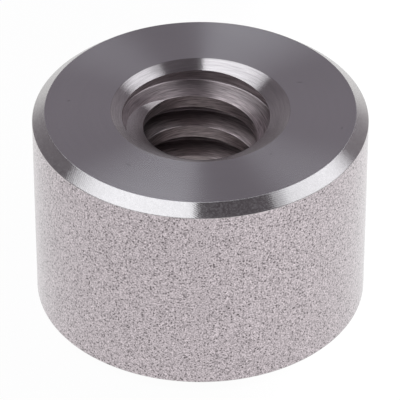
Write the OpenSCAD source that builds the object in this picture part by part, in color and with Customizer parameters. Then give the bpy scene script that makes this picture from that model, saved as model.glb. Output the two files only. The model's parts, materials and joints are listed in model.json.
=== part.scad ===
// Round lead screw nut: a turned steel cylinder with a right-hand trapezoidal thread,
// a countersink at each mouth of the thread and a bevel on each outer edge.
// The nut stands on its lower end face. Its axis is Z, and z = 0 is that face.

/* [Body] */
// Outside diameter of the nut
body_d = 36; // [32:0.5:60]
// Length of the nut between its two end faces
body_l = 24; // [14:0.5:48]
// Width of the bevel on each outer edge, measured across the end face
bevel_w = 1.35; // [0.5:0.05:2.5]
// Height of the bevel on each outer edge, measured up the side
bevel_h = 1.1; // [0.5:0.05:2.5]

/* [Thread] */
// Nominal diameter of the screw that runs in the nut
screw_d = 16; // [12:0.5:20]
// Distance that the nut travels in one turn of the screw
pitch = 4; // [2:0.5:6]
// Angle between the two flanks of the groove
flank_angle = 30; // [20:1:40]
// Room between the outside of the screw and the bottom of the groove
root_clearance = 0.4; // [0.1:0.05:0.5]
// Room between the core of the screw and the bore, beyond the nominal size
crest_clearance = 0.15; // [0:0.05:0.2]
// Room between each flank of the screw and the groove, along the axis
flank_clearance = 0.06; // [0:0.02:0.1]
// Direction in which the middle of the groove crosses the upper end face
thread_start = 212; // [0:1:359]
// Straight steps that make one turn of the groove
thread_steps = 60; // [36:6:90]

/* [Countersinks] */
// Width of each countersink outside the bottom of the groove
sink_rim = 1.2; // [0.5:0.05:2.5]
// Included angle of each countersink
sink_angle = 114; // [80:1:130]

/* [Hidden] */

// Fineness of the turned surfaces
$fn = 180;

body_r = body_d / 2;

// The crest is the bore that the groove is cut into, and the root is the bottom of the groove.
// On the pitch line between them, the groove and the ridge are equally wide, clearance apart.
crest_r = (screw_d - pitch) / 2 + crest_clearance;
pitch_r = screw_d / 2 - pitch / 4;
root_r = screw_d / 2 + root_clearance;

// Each countersink runs from its rim in the end face down to the crest
sink_r = root_r + sink_rim;
sink_h = (sink_r - crest_r) / tan(sink_angle / 2);

// The groove is cut from inside the bore, and its helix runs out past both end faces
groove_mouth_r = crest_r - 0.15 * pitch;
cut_past = pitch;
groove_top = body_l + cut_past;
groove_steps = ceil((body_l + 2 * cut_past) / pitch * thread_steps);

// Half of the groove's width along the axis, at radius r
function groove_half(r) = pitch / 4 + flank_clearance - (r - pitch_r) * tan(flank_angle / 2);

// Section of the groove, as radius and height from its middle
groove_section = [
    [groove_mouth_r, -groove_half(groove_mouth_r)],
    [root_r, -groove_half(root_r)],
    [root_r, groove_half(root_r)],
    [groove_mouth_r, groove_half(groove_mouth_r)],
];
corners = len(groove_section);

// One corner of the section, a number of steps down the helix from its upper end
function groove_point(step, corner) =
    let (
        lift = groove_top - pitch * step / thread_steps,
        turn = thread_start + 360 * (lift - body_l) / pitch,
        r = groove_section[corner][0],
        z = groove_section[corner][1]
    )
    [r * cos(turn), r * sin(turn), lift + z];

// The two triangles between one side of the section and the same side a step further on
function groove_side(step, corner) =
    let (
        a = step * corners + corner,
        b = step * corners + (corner + 1) % corners,
        c = a + corners,
        d = b + corners
    )
    [[a, c, d], [a, d, b]];

// The turned cylinder with its bore, before the thread is cut
module blank() {
    rotate_extrude()
        polygon([
            [sink_r, 0],
            [body_r - bevel_w, 0],
            [body_r, bevel_h],
            [body_r, body_l - bevel_h],
            [body_r - bevel_w, body_l],
            [sink_r, body_l],
            [crest_r, body_l - sink_h],
            [crest_r, sink_h],
        ]);
}

// The helical groove that the screw's thread runs in
module thread_groove() {
    first = [for (c = [0:corners - 1]) c];
    last = [for (c = [corners - 1:-1:0]) groove_steps * corners + c];
    polyhedron(
        points = [for (s = [0:groove_steps], c = [0:corners - 1]) groove_point(s, c)],
        faces = [
            first,
            for (s = [0:groove_steps - 1], c = [0:corners - 1]) each groove_side(s, c),
            last,
        ]
    );
}

module nut() {
    color("silver")
        difference() {
            blank();
            thread_groove();
        }
}

nut();
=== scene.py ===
# %% [markdown]
# # A steel nut for a lead screw
#
# The object is one turned piece of steel: a short round bar with a trapezoidal thread through it,
# a countersink at each mouth and a bevel on each outer edge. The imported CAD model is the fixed
# frame of this lesson, and the sizes here are the model's. What is left for Blender is what an eye
# sees from a step away: softened edges, a smoother thread, and the finish that each tool left on
# the steel.

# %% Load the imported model
import cmath
import json
import math
from collections import namedtuple

import bmesh
import bpy
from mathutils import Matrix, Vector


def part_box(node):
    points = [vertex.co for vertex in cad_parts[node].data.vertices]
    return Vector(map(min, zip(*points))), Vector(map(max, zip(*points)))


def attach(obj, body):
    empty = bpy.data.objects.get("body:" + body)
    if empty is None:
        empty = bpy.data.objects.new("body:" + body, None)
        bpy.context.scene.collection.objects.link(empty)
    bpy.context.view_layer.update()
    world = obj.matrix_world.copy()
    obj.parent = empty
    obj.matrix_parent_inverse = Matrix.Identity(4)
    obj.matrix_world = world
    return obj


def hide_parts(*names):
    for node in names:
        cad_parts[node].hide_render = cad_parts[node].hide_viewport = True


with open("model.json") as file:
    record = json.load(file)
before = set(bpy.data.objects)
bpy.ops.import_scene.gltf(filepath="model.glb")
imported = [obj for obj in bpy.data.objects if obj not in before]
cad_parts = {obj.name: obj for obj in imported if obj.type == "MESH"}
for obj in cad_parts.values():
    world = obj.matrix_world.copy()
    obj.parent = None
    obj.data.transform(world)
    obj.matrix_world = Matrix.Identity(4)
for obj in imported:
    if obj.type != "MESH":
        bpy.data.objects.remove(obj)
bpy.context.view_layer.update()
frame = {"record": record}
scene = bpy.context.scene
MM = 0.001

# %% [markdown]
# ## Sizes
#
# A maker's drawing gives a nut like this in a few numbers. The mounts in the record hold most of
# them: the radius and length of the bore, and of the plain outside. The rest are the drawing's own
# numbers for the bevel, the countersink and the thread. All lengths here are millimetres, and the
# finished mesh is scaled to metres in one place.

# %% Read the sizes
mounts = {mount["name"]: mount["dims"] for mount in frame["record"]["mounts"]}
nut_low, nut_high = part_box("nut")

body_l = round((nut_high[2] - nut_low[2]) / MM, 3)
body_r = mounts["outside_diameter"]["r_mm"]
bevel_h = (body_l - mounts["outside_diameter"]["length_mm"]) / 2
bevel_w = 1.35

crest_r = mounts["screw_thread"]["r_mm"]
root_r = 8.4
pitch = 4.0
pitch_r = 7.0
flank = math.radians(15)
flank_room = 0.06
thread_start = math.radians(212)

sink_r = 9.6
sink_h = (body_l - mounts["screw_thread"]["length_mm"]) / 2
sink_slope = sink_h / (sink_r - crest_r)

print("Body:", body_r, "by", body_l, "mm; bore radius", crest_r, "mm;",
      "countersink", round(sink_h, 2), "mm deep")

# %% [markdown]
# ## Shader maths as Python
#
# Each finish below is a small calculation on where a point lies: how far out from the axis, how far
# along it, and in which direction. Wiring such sums by hand is hard to read. So a small class wraps
# a node's output, and its operators add Math nodes. A workbench makes every other node with one
# method: the settings are set first, then each input gets a number, a colour or another output.


# %% A socket that takes part in sums
def math_node(operation, flipped=False):
    """An operator that adds one Math node. The flipped form serves sums such as 1 - mask."""

    def method(self, other):
        left, right = (other, self) if flipped else (self, other)
        return self.bench.node("ShaderNodeMath", {"operation": operation}, {0: left, 1: right})

    return method


class Signal:
    """One output of a node, on the workbench that made it."""

    def __init__(self, bench, socket):
        self.bench = bench
        self.socket = socket

    __add__ = math_node("ADD")
    __radd__ = math_node("ADD", flipped=True)
    __sub__ = math_node("SUBTRACT")
    __rsub__ = math_node("SUBTRACT", flipped=True)
    __mul__ = math_node("MULTIPLY")
    __rmul__ = math_node("MULTIPLY", flipped=True)
    __truediv__ = math_node("DIVIDE")
    __rtruediv__ = math_node("DIVIDE", flipped=True)

    def beside(self, name):
        """Another output of the same node."""
        return Signal(self.bench, self.bench.pick(self.socket.node.outputs, name))


# %% The workbench that makes nodes
class Bench:
    """A node tree, emptied, with one method that adds any node."""

    def __init__(self, tree):
        self.tree = tree
        tree.nodes.clear()

    def node(self, kind, settings=None, inputs=None, output=0):
        """Adds a node, sets it up, feeds its inputs and gives one of its outputs."""
        made = self.tree.nodes.new(kind)
        for name, value in (settings or {}).items():
            if name == "stops":
                self.set_stops(made.color_ramp.elements, value)
            else:
                setattr(made, name, value)
        for key, value in (inputs or {}).items():
            self.feed(self.pick(made.inputs, key), value)
        return Signal(self, self.pick(made.outputs, output)) if made.outputs else None

    def pick(self, sockets, key):
        """A socket by its number, or the one in use that has this name."""
        if isinstance(key, int):
            return sockets[key]
        return next(socket for socket in sockets if socket.name == key and socket.enabled)

    def feed(self, socket, value):
        if isinstance(value, Signal):
            self.tree.links.new(value.socket, socket)
        else:
            socket.default_value = value

    def set_stops(self, elements, stops):
        while len(elements) < len(stops):
            elements.new(1)
        for element, (place, colour) in zip(elements, stops):
            element.position = place
            element.color = colour


# %% Sums that the finishes share
def vector(bench, operation, *inputs, output="Vector"):
    return bench.node("ShaderNodeVectorMath", {"operation": operation}, dict(enumerate(inputs)), output)


def rise(bench, value, low, high):
    """0 below low, 1 above high, and a smooth slope between."""
    ends = {"Value": value, "From Min": low, "From Max": high}
    return bench.node("ShaderNodeMapRange", {"interpolation_type": "SMOOTHSTEP"}, ends)


def blend(bench, mask, first, second):
    """The first colour where the mask is 0, the second where it is 1."""
    inputs = {"Factor": mask, "A": first, "B": second}
    return bench.node("ShaderNodeMix", {"data_type": "RGBA"}, inputs, "Result")


def grain(bench, place, scale, detail=2.0, roughness=0.5):
    """Noise from 0 to 1, with about this many grains in a millimetre."""
    inputs = {"Vector": place, "Scale": scale, "Detail": detail, "Roughness": roughness}
    return bench.node("ShaderNodeTexNoise", {}, inputs, "Fac")


print("Workbench ready, with operators for sums on sockets")

# %% [markdown]
# ## Where a point lies on the steel
#
# A lathe leaves marks that run around the axis. Noise makes such marks when it changes slowly
# around the axis and fast across it. An angle would leave a seam where it jumps from 360 to 0, so
# the direction from the axis is kept as a vector of length one. Stretching that vector and adding
# a lane number as its height gives streaks with no seam.

# %% Measure a point
Spot = namedtuple("Spot", "place around out along")


def measure(bench):
    """A point in millimetres, its direction from the axis, its radius and its height."""
    metres = bench.node("ShaderNodeTexCoord", output="Object")
    place = vector(bench, "MULTIPLY", metres, (1 / MM,) * 3)
    flat = vector(bench, "MULTIPLY", place, (1, 1, 0))
    out = vector(bench, "LENGTH", flat, output="Value")
    along = bench.node("ShaderNodeSeparateXYZ", {}, {0: place}, "Z")
    return Spot(place, vector(bench, "NORMALIZE", flat), out, along)


def streaks(bench, spot, lane, reach, fineness, detail=2.0):
    """Marks around the axis: fineness is lanes in a millimetre, reach is breaks in a radian."""
    lift = bench.node("ShaderNodeCombineXYZ", {}, {"Z": lane * fineness})
    drawn = vector(bench, "MULTIPLY_ADD", spot.around, (reach,) * 3, lift)
    return grain(bench, drawn, 1, detail)


# %% [markdown]
# ## Finishes
#
# All six finishes are the same bare steel. What differs is the tool. A turning tool leaves fine
# grooves around the axis, which scatter light widely across the grooves and little along them, so
# the turned faces get a strong anisotropy. Blender's own tangent runs around the axis, and a
# quarter turn of the anisotropy puts the wide direction across the grooves.
#
# One thing is easy to miss. The denoiser treats a finish as a mirror below a roughness of about
# 0.27 and as matt above it. A finish that crosses this value shows a thin line where it does, so
# the roughness of each finish stays on one side.

# %% Turn a sum into a steel finish
QUARTER_TURN = 0.25


def steel(name, make, anisotropy):
    """A metal finish. The make function gives the sockets that change over the surface."""
    material = bpy.data.materials.new(name)
    material.use_nodes = True
    bench = Bench(material.node_tree)
    sockets = {
        "Metallic": 1.0,
        "Anisotropic": anisotropy,
        "Anisotropic Rotation": QUARTER_TURN if anisotropy else 0.0,
        **make(bench, measure(bench)),
    }
    shader = bench.node("ShaderNodeBsdfPrincipled", {}, sockets, "BSDF")
    bench.node("ShaderNodeOutputMaterial", {}, {"Surface": shader})
    return material


def dent(bench, height, depth):
    """The normal of a surface whose height, from 0 to 1, stands for this many millimetres."""
    inputs = {"Strength": 1.0, "Distance": depth * MM, "Height": height}
    return bench.node("ShaderNodeBump", {}, inputs, "Normal")


# %% [markdown]
# ### The speckled side
#
# The outside keeps the skin of the drawn bar: pale, matt and slightly pink, with small dark pits.
# A cell pattern places the pits, about three to a millimetre and each with its own size, and noise
# bends the cells so that no grid shows. A second noise darkens bands of the skin, so that some
# pits join like short worms. A third one makes the light and dark grains of the skin. A clear coat
# over it all gives the soft sheen that a handled bar has.

# %% The speckled side
PITS = 3.2
PIT_WOBBLE = 0.2
PIT_DEPTH = 0.010
SKIN_DARK = (0.195, 0.172, 0.181, 1)
SKIN_PALE = (0.95, 0.846, 0.886, 1)
PIT_DARK = (0.11, 0.09, 0.096, 1)


def speckled(bench, spot):
    bend = {"Vector": spot.place, "Scale": 5.0, "Detail": 1.0}
    wobble = bench.node("ShaderNodeTexNoise", {}, bend, "Color")
    moved = vector(bench, "MULTIPLY_ADD", wobble, (PIT_WOBBLE,) * 3, spot.place)
    distance = bench.node("ShaderNodeTexVoronoi", {}, {"Vector": moved, "Scale": PITS}, "Distance")
    chance = bench.node("ShaderNodeSeparateColor", {}, {0: distance.beside("Color")}, "Red")
    pit = 1 - rise(bench, distance / (0.5 + 0.5 * chance), low=0.24, high=0.50)
    bands = grain(bench, spot.place, scale=6.0, detail=0.0)
    worms = 1 - rise(bench, bands, low=0.25, high=0.60)
    fine = grain(bench, spot.place, scale=7.0, detail=0.0)
    skin = blend(bench, fine, SKIN_DARK, SKIN_PALE)
    return {
        "Base Color": blend(bench, 0.70 * pit + 0.50 * worms, skin, PIT_DARK),
        "Roughness": 0.40 + 0.12 * pit,
        "Normal": dent(bench, fine - pit, PIT_DEPTH),
        "Coat Weight": 1.0,
        "Coat Roughness": 0.25,
    }


# %% [markdown]
# ### The turned end faces
#
# The end face was cut with a fine feed, so its grooves are too small to see one by one. Only
# faint rings show, where a few grooves differ. A part that lay among others also has some small
# nicks. Each nick is an ellipse, and a Mapping node gives it coordinates of its own from its
# place, lean and size.

# %% The turned end faces
Nick = namedtuple("Nick", "x y length lean")

NICK_WIDTH = 0.13
NICKS = [
    Nick(-14.1, 1.5, 0.30, 20),
    Nick(10.7, 5.0, 0.45, 0),
    Nick(7.4, -8.2, 0.30, 60),
    Nick(-7.5, -10.1, 0.55, -40),
    Nick(15.0, -3.5, 0.25, 80),
]
NICK_DARK = (0.20, 0.19, 0.20, 1)
FACE_DARK = (0.628, 0.62, 0.64, 1)
FACE_PALE = (0.68, 0.67, 0.692, 1)


def nicked(bench, spot):
    """1 in a few small marks on the upper face, and 0 around them."""
    marks = 0
    for nick in NICKS:
        space = {
            "Vector": spot.place,
            "Location": (nick.x, nick.y, body_l),
            "Rotation": (0, 0, math.radians(nick.lean)),
            "Scale": (nick.length, NICK_WIDTH, 1),
        }
        local = bench.node("ShaderNodeMapping", {"vector_type": "TEXTURE"}, space)
        off = vector(bench, "LENGTH", local, output="Value")
        marks = marks + 1 - rise(bench, off, low=0.3, high=1.0)
    return marks


def turned_face(bench, spot):
    rings = streaks(bench, spot, spot.out, reach=1.5, fineness=4.0, detail=3.0)
    outward = rise(bench, spot.out, sink_r, body_r - bevel_w)
    bare = blend(bench, rings, FACE_DARK, FACE_PALE)
    return {
        "Base Color": blend(bench, 0.35 * nicked(bench, spot), bare, NICK_DARK),
        "Roughness": 0.243 + 0.022 * outward + 0.008 * rings,
    }


# %% [markdown]
# ### The turned bevels
#
# On the bevel the tool chattered, and it left leaning lines a fifth of a millimetre apart. The
# sine of a lane number makes them. The lane is counted outwards and also around, with a whole
# number of lines in one turn, so the pattern meets itself. A thin hazy film lies on the bevel in
# patches. A clear coat does for that, with noise as its weight.

# %% The turned bevels
CHATTER = 0.2
CHATTER_LEAN = math.radians(30)
CHATTER_DEPTH = 0.0011
BEVEL_DARK = (0.41, 0.396, 0.393, 1)
BEVEL_PALE = (0.537, 0.52, 0.516, 1)


def turned_bevel(bench, spot):
    slant = math.hypot(bevel_w, bevel_h) / bevel_w
    marks = round(2 * math.pi * body_r * math.sin(CHATTER_LEAN) / CHATTER)
    parts = bench.node("ShaderNodeSeparateXYZ", {}, {0: spot.around}, "X")
    angle = bench.node("ShaderNodeMath", {"operation": "ARCTAN2"}, {0: parts.beside("Y"), 1: parts})
    lanes = spot.out * (slant * math.cos(CHATTER_LEAN) / CHATTER) - angle * (marks / (2 * math.pi))
    ripple = bench.node("ShaderNodeMath", {"operation": "SINE"}, {0: 2 * math.pi * lanes})
    blotch = grain(bench, spot.place, scale=3.0, detail=2.0, roughness=0.6)
    haze = grain(bench, spot.place, scale=4.0, detail=3.0, roughness=0.6)
    return {
        "Base Color": blend(bench, blotch, BEVEL_DARK, BEVEL_PALE),
        "Roughness": 0.165 + 0.035 * blotch,
        "Normal": dent(bench, 0.6 * ripple + 2 * blotch, CHATTER_DEPTH),
        "Coat Weight": rise(bench, haze, low=0.40, high=0.66),
        "Coat Roughness": 0.45,
        "Coat IOR": 1.85,
    }


# %% [markdown]
# ### The broken edges
#
# The edge between face and bevel was rubbed by handling. It has no grooves left, and it is bright
# in some places and dull in others. Slow noise in colour and roughness is enough for a thin line.

# %% The broken edges
RUBBED_DARK = (0.44, 0.425, 0.435, 1)
RUBBED_PALE = (0.76, 0.74, 0.755, 1)


def broken_edge(bench, spot):
    rubbed = grain(bench, spot.place, scale=2.0, detail=2.0)
    return {
        "Base Color": blend(bench, rubbed, RUBBED_DARK, RUBBED_PALE),
        "Roughness": 0.32 + 0.10 * rubbed,
    }


# %% [markdown]
# ### The countersinks
#
# The countersinks were turned like the end faces, with clearer rings. Near the bore they are
# darker: the radius picks how much of a dark colour is mixed in.

# %% The countersinks
SINK_DARK = (0.404, 0.384, 0.387, 1)
SINK_PALE = (0.586, 0.557, 0.56, 1)
SINK_NEAR_BORE = (0.24, 0.21, 0.21, 1)
SINK_NEAR_BORE_R = 7.6
SINK_DEPTH = 0.0014


def countersunk(bench, spot):
    rings = streaks(bench, spot, spot.out, reach=3.0, fineness=7.0, detail=3.0)
    blotch = grain(bench, spot.place, scale=2.5, detail=2.0, roughness=0.6)
    bare = blend(bench, 1.8 * rings - 0.4, SINK_DARK, SINK_PALE)
    # Darker towards the bore.
    darkened = 1 - rise(bench, spot.out, crest_r, SINK_NEAR_BORE_R)
    return {
        "Base Color": blend(bench, 0.7 * darkened, bare, SINK_NEAR_BORE),
        "Roughness": 0.235 + 0.03 * rings,
        "Normal": dent(bench, rings + blotch, SINK_DEPTH),
    }


# %% [markdown]
# ### The cut thread
#
# The tool that cuts the groove leaves marks that follow the helix. The thread climbs only about
# five degrees, so rings are near enough. On a land, which faces the axis, a ring keeps its height.
# On a flank, which faces up or down, it keeps its radius. So the normal picks the lane. The steel
# is browner here, and painted shade darkens the colour towards the bottom of the groove.

# %% The cut thread
THREAD_DARK = (0.22, 0.188, 0.19, 1)
THREAD_PALE = (0.78, 0.69, 0.70, 1)
THREAD_PAINTED_SHADE = (0.08, 0.084, 0.087, 1)
THREAD_SHADE_R = (6.6, 8.0)
THREAD_DEPTH = 0.008


def cut_thread(bench, spot):
    facing = bench.node("ShaderNodeNewGeometry", output="Normal")
    upright = bench.node("ShaderNodeSeparateXYZ", {}, {0: facing}, "Z")
    on_flank = rise(bench, upright * upright, low=0.2, high=0.8)
    lane = spot.along + on_flank * (1.5 * spot.out - spot.along)
    lanes = streaks(bench, spot, lane, reach=4.0, fineness=9.0, detail=2.0)
    metal = blend(bench, 2.1 * lanes - 0.55, THREAD_DARK, THREAD_PALE)
    # Painted shade: the colour darkens towards the root, where the groove lies in shade.
    darkened = rise(bench, spot.out, *THREAD_SHADE_R)
    return {
        "Base Color": blend(bench, 0.35 * darkened, metal, THREAD_PAINTED_SHADE),
        "Roughness": 0.28 + 0.10 * lanes,
        "Normal": dent(bench, lanes, THREAD_DEPTH),
    }


# %% Make the six finishes
finishes = {
    "side": steel("speckled side", speckled, anisotropy=0.0),
    "face": steel("turned face", turned_face, anisotropy=0.97),
    "bevel": steel("turned bevel", turned_bevel, anisotropy=0.95),
    "edge": steel("broken edge", broken_edge, anisotropy=0.0),
    "countersink": steel("turned countersink", countersunk, anisotropy=1.0),
    "thread": steel("cut thread", cut_thread, anisotropy=0.75),
}
finish_number = {name: number for number, name in enumerate(finishes)}

print("Finishes:", ", ".join(finishes))

# %% [markdown]
# ## The turned blank
#
# A lathe makes this shape by following an outline, so the mesh is made the same way. The outline
# goes from the tip of the lower countersink, out along the end face, up the side and back to the
# tip of the upper one. No edge on a real part is perfectly sharp: each corner becomes a small arc,
# which is what catches the light. A point just past each end of the arc keeps the flat beside it
# flat when the shading is smoothed. Complex numbers make the arcs short to write, because turning
# a point is one multiplication.

# %% Soften the corners of an outline
Corner = namedtuple("Corner", "out along arc edge finish")

ARC_STEPS = 4
HOLD = 0.05


def unit(step):
    return step / abs(step)


def soften(corners):
    """Points along the corners, each with the finish of the stretch that starts there."""
    spots = [complex(corner.out, corner.along) for corner in corners]
    points = [(spots[0], corners[0].finish)]
    for number in range(1, len(corners) - 1):
        here = spots[number]
        back = unit(spots[number - 1] - here)
        ahead = unit(spots[number + 1] - here)
        half = abs(cmath.phase(ahead / back)) / 2
        radius = corners[number].arc
        reach = radius / math.tan(half)
        centre = here + unit(back + ahead) * radius / math.sin(half)
        spoke = here + back * reach - centre
        sweep = cmath.phase((here + ahead * reach - centre) / spoke)
        points.append((here + back * (reach + HOLD), corners[number - 1].finish))
        for step in range(ARC_STEPS + 1):
            finish = corners[number].edge if step < ARC_STEPS else corners[number].finish
            points.append((centre + spoke * cmath.rect(1, sweep * step / ARC_STEPS), finish))
        points.append((here + ahead * (reach + HOLD), corners[number].finish))
    points.append((spots[-1], corners[-1].finish))
    return points


# %% The outline of the blank
EDGE = 0.10
RIM = 0.10
tip = sink_r * sink_slope

outline = soften([
    Corner(0, tip, 0, None, "countersink"),
    Corner(sink_r, 0, RIM, "countersink", "face"),
    Corner(body_r - bevel_w, 0, EDGE, "edge", "bevel"),
    Corner(body_r, bevel_h, EDGE, "bevel", "side"),
    Corner(body_r, body_l - bevel_h, EDGE, "bevel", "bevel"),
    Corner(body_r - bevel_w, body_l, EDGE, "edge", "face"),
    Corner(sink_r, body_l, RIM, "countersink", "countersink"),
    Corner(0, body_l - tip, 0, None, "countersink"),
])

print("Outline of", len(outline), "points, with edges rounded to", EDGE, "mm")

# %% Turn the outline around the axis
COLUMNS = 288


def mesh_object(name, points, faces, face_finishes):
    """An object in millimetres, with one slot for each finish."""
    mesh = bpy.data.meshes.new(name)
    mesh.from_pydata(points, [], faces)
    for material in finishes.values():
        mesh.materials.append(material)
    numbers = [finish_number[finish] for finish in face_finishes]
    mesh.polygons.foreach_set("material_index", numbers)
    made = bpy.data.objects.new(name, mesh)
    scene.collection.objects.link(made)
    return made


def around(count, number):
    return cmath.rect(1, 2 * math.pi * number / count)


def turn(name, outline):
    """The solid that an outline sweeps around the axis. Its two ends lie on the axis."""
    rings = outline[1:-1]
    points = [
        (spot.real * turned.real, spot.real * turned.imag, spot.imag)
        for spot, _ in rings
        for turned in (around(COLUMNS, column) for column in range(COLUMNS))
    ]
    bottom, top = len(points), len(points) + 1
    points += [(0, 0, outline[0][0].imag), (0, 0, outline[-1][0].imag)]
    last = (len(rings) - 1) * COLUMNS
    faces, marks = [], []
    for column in range(COLUMNS):
        after = (column + 1) % COLUMNS
        faces += [(bottom, after, column), (top, last + column, last + after)]
        marks += [outline[0][1], outline[-1][1]]
        for ring in range(len(rings) - 1):
            low, high = ring * COLUMNS, (ring + 1) * COLUMNS
            faces.append((low + column, low + after, high + after, high + column))
            marks.append(rings[ring][1])
    return mesh_object(name, points, faces, marks)


blank = turn("blank", outline)

print("Blank:", len(blank.data.polygons), "faces")

# %% [markdown]
# ## The thread
#
# The thread could be a texture, but light in a real thread is caught between its flanks, so it has
# to be cut. The cutter has the shape of the screw: one pitch of its section, from the middle of a
# ridge to the middle of the next, is carried up the helix. Rows of faces that follow the helix keep
# the shading clean. The corners at the crest are broken, and those at the root are rounded, as the
# tip of a cutting tool is.

# %% The section of the thread
CREST_BREAK = 0.06
ROOT_ROUND = 0.18


def groove_half(radius):
    """Half of the groove's width along the axis, at a radius."""
    return pitch / 4 + flank_room - (radius - pitch_r) * math.tan(flank)


section = soften([
    Corner(crest_r, -pitch / 2, 0, None, "thread"),
    Corner(crest_r, -groove_half(crest_r), CREST_BREAK, "thread", "thread"),
    Corner(root_r, -groove_half(root_r), ROOT_ROUND, "thread", "thread"),
    Corner(root_r, groove_half(root_r), ROOT_ROUND, "thread", "thread"),
    Corner(crest_r, groove_half(crest_r), CREST_BREAK, "thread", "thread"),
    Corner(crest_r, pitch / 2, 0, None, "thread"),
])

print("Thread section of", len(section), "points; the ridge is",
      round(pitch - 2 * groove_half(crest_r), 2), "mm wide at its crest")

# %% Carry the section up the helix
STEPS = 240
TURNS_PAST = 1
JOIN = 1e-4


def screw(name, section):
    """The screw that fills the thread, with a closed end past each face of the nut."""
    turns = math.ceil(body_l / pitch) + 2 * TURNS_PAST
    points, faces = [], []
    rows = len(section)
    for step in range(turns * STEPS + 1):
        climb = pitch * (step / STEPS - TURNS_PAST)
        turned = cmath.rect(1, thread_start + 2 * math.pi * (climb - body_l) / pitch)
        for spot, _ in section:
            points.append((spot.real * turned.real, spot.real * turned.imag, climb + spot.imag))
    for step in range(turns * STEPS):
        for row in range(rows - 1):
            here, there = step * rows + row, (step + 1) * rows + row
            faces.append((here, there, there + 1, here + 1))
    return mesh_object(name, points, faces, ["thread"] * len(faces))


def close_ends(made):
    """Joins each turn to the next, and closes the two open ends with fans to the axis."""
    shape = bmesh.new()
    shape.from_mesh(made.data)
    bmesh.ops.remove_doubles(shape, verts=shape.verts, dist=JOIN)
    rim = [edge for edge in shape.edges if edge.is_boundary]
    middle = body_l / 2
    for is_end in (lambda height: height < middle, lambda height: height > middle):
        end = [edge for edge in rim if is_end(edge.verts[0].co.z)]
        height = sum(edge.verts[0].co.z for edge in end) / len(end)
        axis = shape.verts.new((0, 0, height))
        for edge in end:
            face = shape.faces.new((edge.verts[0], edge.verts[1], axis))
            face.material_index = finish_number["thread"]
    bmesh.ops.recalc_face_normals(shape, faces=shape.faces)
    shape.to_mesh(made.data)
    shape.free()


cutter = screw("cutter", section)
close_ends(cutter)

print("Cutter:", len(cutter.data.polygons), "faces")

# %% Cut the thread
def cut(body, tool, name):
    """A new object: the body without the tool. Both are then removed."""
    modifier = body.modifiers.new("thread", "BOOLEAN")
    modifier.operation = "DIFFERENCE"
    modifier.solver = "MANIFOLD"
    modifier.object = tool
    view = bpy.context.evaluated_depsgraph_get()
    mesh = bpy.data.meshes.new_from_object(body.evaluated_get(view))
    made = bpy.data.objects.new(name, mesh)
    scene.collection.objects.link(made)
    for helper in (body, tool):
        bpy.data.objects.remove(helper)
    return made


nut = cut(blank, cutter, "threaded_nut")

print("Nut:", len(nut.data.polygons), "faces")

# %% [markdown]
# ## One smooth solid in the frame
#
# The cut leaves one closed solid. Its round surfaces should shade as round and its real edges as
# sharp. The angle at an edge tells most of them apart. Where the thread runs out through a
# countersink the angle can be small, and the edge is still a real one, so the whole border of the
# thread is marked as sharp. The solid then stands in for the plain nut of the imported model.

# %% Smooth the shading and scale to metres
SHARP = math.radians(32)


def finish_mesh(made):
    """Scales to metres and marks the sharp edges. Gives the open edges and the volume."""
    shape = bmesh.new()
    shape.from_mesh(made.data)
    bmesh.ops.remove_doubles(shape, verts=shape.verts, dist=JOIN)
    bmesh.ops.scale(shape, vec=(MM,) * 3, verts=shape.verts)
    thread = finish_number["thread"]
    for face in shape.faces:
        face.smooth = True
    for edge in shape.edges:
        sides = {face.material_index == thread for face in edge.link_faces}
        edge.smooth = len(sides) == 1 and edge.calc_face_angle(0) < SHARP
    open_edges = sum(not edge.is_manifold for edge in shape.edges)
    volume = shape.calc_volume() / MM ** 3
    shape.to_mesh(made.data)
    shape.free()
    return open_edges, volume


open_edges, volume = finish_mesh(nut)

print("Open edges:", open_edges, "; volume", round(volume, 1), "cubic mm")

# %% Put the nut in the frame
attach(nut, "root")
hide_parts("nut")

print("In the frame:", nut.name)

# %% [markdown]
# ## The studio
#
# Bare metal shows little of itself and much of what stands around it, so the studio is part of the
# look. Two soft panels hang above the nut with a dark gap between them: their reflections make the
# bright and dark wedges on the turned faces. The right one is turned, and a wider one above it
# gives it a dimmer rim, so that its wedges end softly. The sky is white near the horizon, darker
# overhead and a little brighter on the right. The floor is white to the camera and to reflections,
# a tenth brighter on the right, and it still takes a faint shadow.

# %% The floor
FLOOR_HALF = 4.0
FLOOR_DROP = 0.00002
FLOOR_PAINT = (0.94, 0.94, 0.94, 1)
FLOOR_LEFT = (1, 1, 1, 1)
FLOOR_RIGHT = (1.1, 1.1, 1.1, 1)
FLOOR_GLOW = 0.96


def white_floor():
    mesh = bpy.data.meshes.new("floor")
    corners = [(-1, -1), (1, -1), (1, 1), (-1, 1)]
    points = [(x * FLOOR_HALF, y * FLOOR_HALF, -FLOOR_DROP) for x, y in corners]
    mesh.from_pydata(points, [], [(0, 1, 2, 3)])
    floor = bpy.data.objects.new("floor", mesh)
    scene.collection.objects.link(floor)
    material = bpy.data.materials.new("white floor")
    material.use_nodes = True
    bench = Bench(material.node_tree)
    paint = bench.node("ShaderNodeBsdfDiffuse", {}, {"Color": FLOOR_PAINT})
    place = bench.node("ShaderNodeTexCoord", output="Object")
    across = bench.node("ShaderNodeSeparateXYZ", {}, {0: place}, "X")
    white = blend(bench, rise(bench, across, low=0.0, high=0.03), FLOOR_LEFT, FLOOR_RIGHT)
    glow = bench.node("ShaderNodeEmission", {}, {"Color": white, "Strength": 1.0})
    seen = bench.node("ShaderNodeLightPath", output="Is Camera Ray")
    mirrored = bench.node("ShaderNodeLightPath", output="Is Glossy Ray")
    mixed = bench.node("ShaderNodeMixShader", {}, {0: FLOOR_GLOW * (seen + mirrored), 1: paint, 2: glow})
    bench.node("ShaderNodeOutputMaterial", {}, {"Surface": mixed})
    mesh.materials.append(material)
    return floor


floor = white_floor()

print("Floor of", 2 * FLOOR_HALF, "m")

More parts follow.
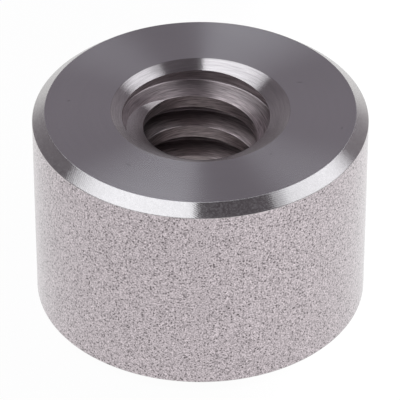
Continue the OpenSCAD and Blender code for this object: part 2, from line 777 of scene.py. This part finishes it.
# %% The sky
SKY_GREYS = [(0.0, 0.97), (0.12, 0.36), (0.5, 0.25), (1.0, 0.095)]
SKY_LEAN = 0.13


def tinted(grey):
    """A grey of the sky, slightly pink where it is dark."""
    return (grey, grey * (0.88 + 0.12 * grey), grey * (1.01 - 0.01 * grey), 1)


def white_sky():
    world = bpy.data.worlds.new("studio")
    world.use_nodes = True
    bench = Bench(world.node_tree)
    direction = bench.node("ShaderNodeTexCoord", output="Generated")
    height = bench.node("ShaderNodeSeparateXYZ", {}, {0: direction}, "Z")
    stops = [(place, tinted(grey)) for place, grey in SKY_GREYS]
    colour = bench.node("ShaderNodeValToRGB", {"stops": stops}, {"Fac": height}, "Color")
    uneven = {0: colour, "Scale": 1 + SKY_LEAN * height.beside("X")}
    colour = bench.node("ShaderNodeVectorMath", {"operation": "SCALE"}, uneven)
    sky = bench.node("ShaderNodeBackground", {}, {"Color": colour, "Strength": 1.0})
    bench.node("ShaderNodeOutputWorld", {}, {"Surface": sky})
    scene.world = world


white_sky()

print("Sky of", len(SKY_GREYS), "greys")

# %% The panels
PANEL_HEIGHT = 0.624
PANEL_COLOUR = (0.945, 0.975, 1.01)


def panel(name, light, turned, left, right, near, far, lift=0.0):
    """A soft panel above the nut, between these edges in metres, turned about its own middle."""
    lamp = bpy.data.lights.new(name, "AREA")
    lamp.shape = "RECTANGLE"
    lamp.size = right - left
    lamp.size_y = far - near
    lamp.energy = light * math.pi * lamp.size * lamp.size_y
    lamp.color = PANEL_COLOUR
    made = bpy.data.objects.new(name, lamp)
    made.location = ((left + right) / 2, (near + far) / 2, PANEL_HEIGHT + lift)
    made.rotation_euler = (0, 0, math.radians(turned))
    made.visible_camera = False
    scene.collection.objects.link(made)
    print(name, "panel of", round(lamp.energy, 2), "W")


# Reflections show only one of two panels at the same height, so the rim hangs a little higher
panel("left", light=1.86, turned=-2, left=-0.757, right=-0.023, near=-0.60, far=0.224)
panel("right", light=0.88, turned=28, left=0.353, right=1.090, near=-0.138, far=0.427)
panel("right rim", light=0.88, turned=28, left=0.271, right=1.215, near=-0.128, far=0.437, lift=0.01)

# %% [markdown]
# ## The camera
#
# The photograph was taken with a long lens, about 37 degrees above the level. The place and lens
# here were fitted to its edges.

# %% The camera
LOOK_DOWN = math.radians(36.7)
LENS = 324.65
SENSOR = 36.0
CAMERA_PLACE = (-0.0000445, -0.3145, 0.2463)

lens = bpy.data.cameras.new("camera")
lens.lens = LENS
lens.sensor_width = SENSOR
camera = bpy.data.objects.new("camera", lens)
camera.location = CAMERA_PLACE
camera.rotation_euler = (math.pi / 2 - LOOK_DOWN, 0, 0)
scene.collection.objects.link(camera)
scene.camera = camera
scene.view_settings.view_transform = "Standard"

print("Camera", round(math.hypot(*CAMERA_PLACE), 3), "m from the foot of the nut")
